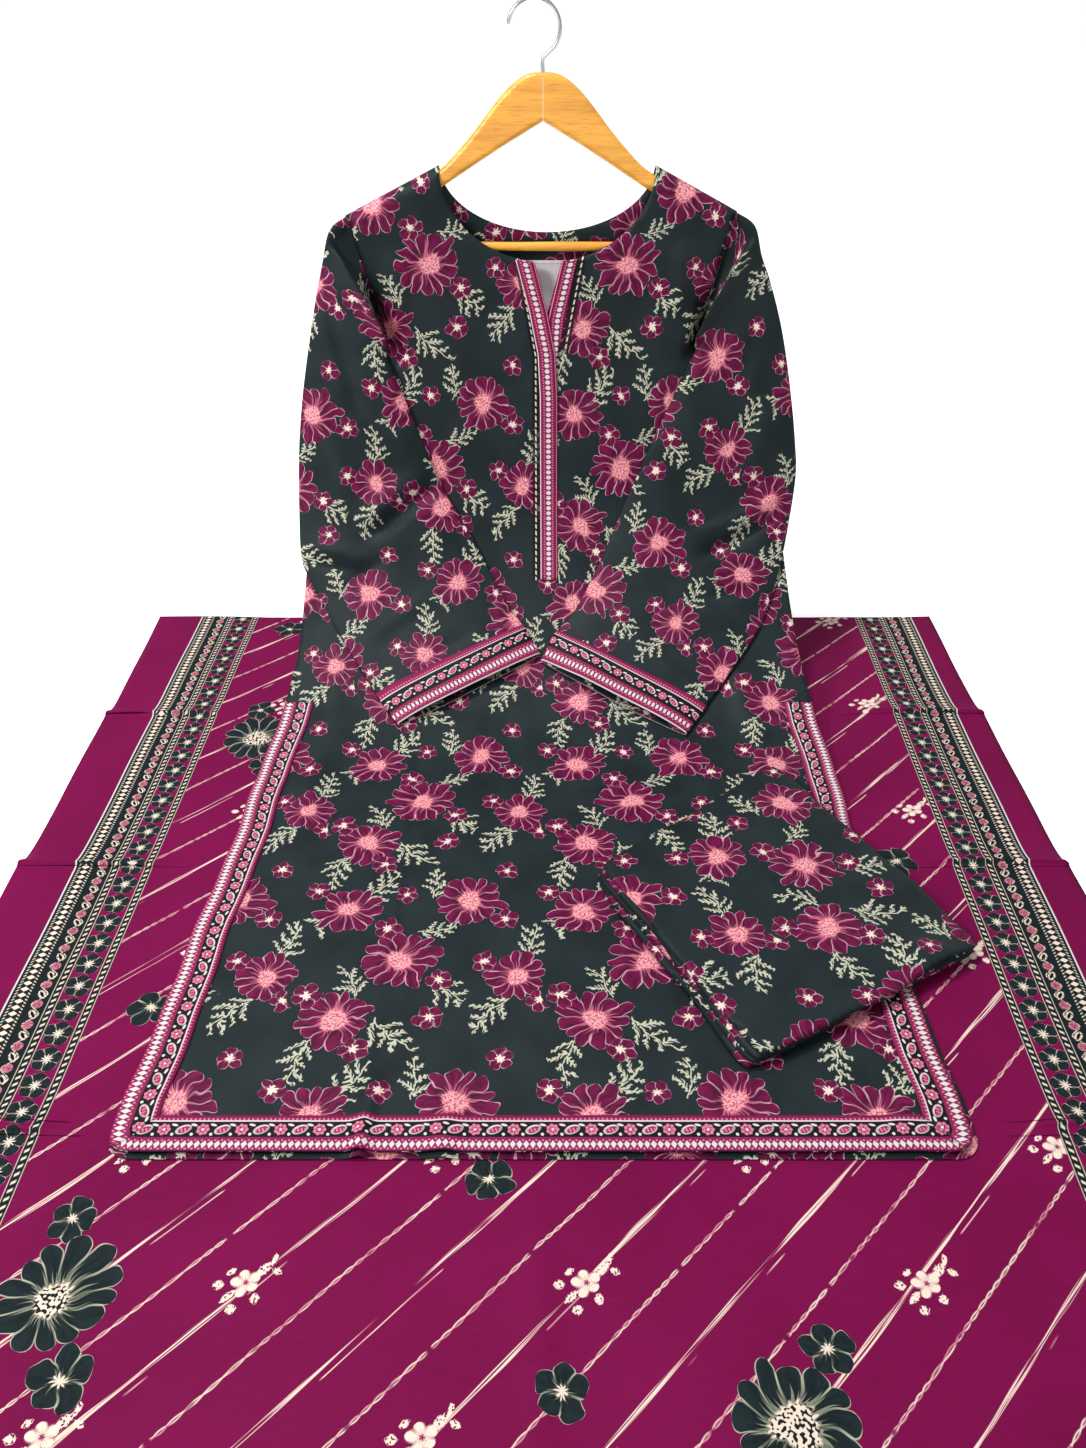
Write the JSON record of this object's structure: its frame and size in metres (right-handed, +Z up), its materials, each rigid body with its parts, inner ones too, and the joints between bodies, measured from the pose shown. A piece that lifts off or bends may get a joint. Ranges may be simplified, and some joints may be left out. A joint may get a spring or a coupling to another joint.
{
  "type": "salwar kameez suit on a wooden hanger",
  "caption": "Printed salwar kameez suit: long tunic on a wooden hanger with crossed sleeves, folded trousers and a spread dupatta.",
  "frame": {"origin": "inside the crown of the hanger's hook, where a rail or peg holds it", "axes": "+Z up, the front of the suit faces -Y, +X to the right seen from the front"},
  "size_m": [0.948, 1.1594, 0.6451],
  "materials": {
    "printed_cloth": "soft sheen cotton with a floral print on dark green-grey",
    "border_print": "printed border, magenta, black and ivory",
    "dupatta_cloth": "plum-magenta cloth with printed bands and broken stripes",
    "label_cloth": "matte woven tape, blank",
    "hanger_wood": "clear varnish",
    "hook_steel": "polished wire"
  },
  "bodies": {
    "root": {"kameez_front": "printed_cloth", "kameez_back": "printed_cloth", "sleeve_left": "printed_cloth", "sleeve_right": "printed_cloth", "cuff_left": "border_print", "cuff_right": "border_print", "placket_left": "border_print", "placket_right": "border_print", "hem_border": "border_print", "side_border_left": "border_print", "side_border_right": "border_print", "neck_label": "label_cloth", "trouser_leg_upper": "printed_cloth", "trouser_folded_layers": "printed_cloth", "trouser_leg_lower": "printed_cloth", "dupatta": "dupatta_cloth", "hanger_arm_left": "hanger_wood", "hanger_arm_right": "hanger_wood", "hanger_bar": "hanger_wood", "hanger_hook": "hook_steel"}
  },
  "joints": []
}
